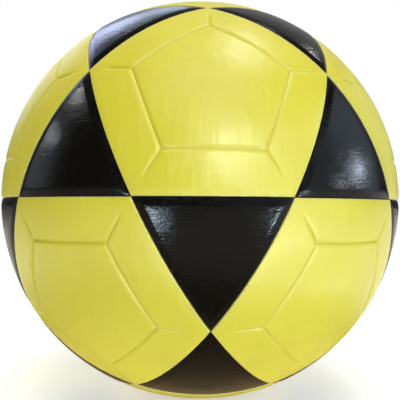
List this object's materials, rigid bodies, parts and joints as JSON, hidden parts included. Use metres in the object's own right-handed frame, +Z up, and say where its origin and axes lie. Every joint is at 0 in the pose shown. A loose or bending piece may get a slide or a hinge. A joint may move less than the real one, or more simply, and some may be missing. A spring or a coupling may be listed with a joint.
{
  "type": "futsal ball",
  "caption": "Futsal ball of bonded yellow pentagon and black triangle panels with pressed pentagon lines, over a rubber skin, thread winding and bladder, with a pull-out valve core.",
  "frame": {"origin": "centre of the ball", "axes": "+Z up through the valve, along a fivefold axis of the panels; -Y is the front that the picture shows, with a pentagon above and a black triangle below the seam round the middle; +X to the right of it"},
  "size_m": [0.2004, 0.2004, 0.2003],
  "materials": {
    "yellow_cover": "smooth semi-gloss yellow synthetic leather",
    "black_cover": "fine-grained semi-gloss black synthetic leather",
    "skin_rubber": "vulcanised natural rubber, matt",
    "nylon_thread": "wound nylon thread",
    "butyl_rubber": "butyl, satin",
    "valve_rubber": "moulded rubber, satin",
    "core_rubber": "soft rubber, satin"
  },
  "bodies": {
    "ball": {"valve_panel": "yellow_cover", "crown_triangle_1": "black_cover", "crown_triangle_2": "black_cover", "crown_triangle_3": "black_cover", "crown_triangle_4": "black_cover", "crown_triangle_5": "black_cover", "upper_pentagon_1": "yellow_cover", "upper_pentagon_2": "yellow_cover", "upper_pentagon_3": "yellow_cover", "upper_pentagon_4": "yellow_cover", "upper_pentagon_5": "yellow_cover", "upper_triangle_1": "black_cover", "upper_triangle_2": "black_cover", "upper_triangle_3": "black_cover", "upper_triangle_4": "black_cover", "upper_triangle_5": "black_cover", "lower_triangle_1": "black_cover", "lower_triangle_2": "black_cover", "lower_triangle_3": "black_cover", "lower_triangle_4": "black_cover", "lower_triangle_5": "black_cover", "lower_pentagon_1": "yellow_cover", "lower_pentagon_2": "yellow_cover", "lower_pentagon_3": "yellow_cover", "lower_pentagon_4": "yellow_cover", "lower_pentagon_5": "yellow_cover", "base_triangle_1": "black_cover", "base_triangle_2": "black_cover", "base_triangle_3": "black_cover", "base_triangle_4": "black_cover", "base_triangle_5": "black_cover", "base_panel": "yellow_cover", "rubber_skin": "skin_rubber", "thread_winding": "nylon_thread", "bladder": "butyl_rubber", "valve_housing": "valve_rubber"},
    "valve_plug": {"valve_core": "core_rubber"}
  },
  "joints": [
    {"name": "valve_core_pull", "type": "slide", "parent": "ball", "child": "valve_plug", "axis": [0, 0, 1], "range_m": [0, 0.026]}
  ]
}
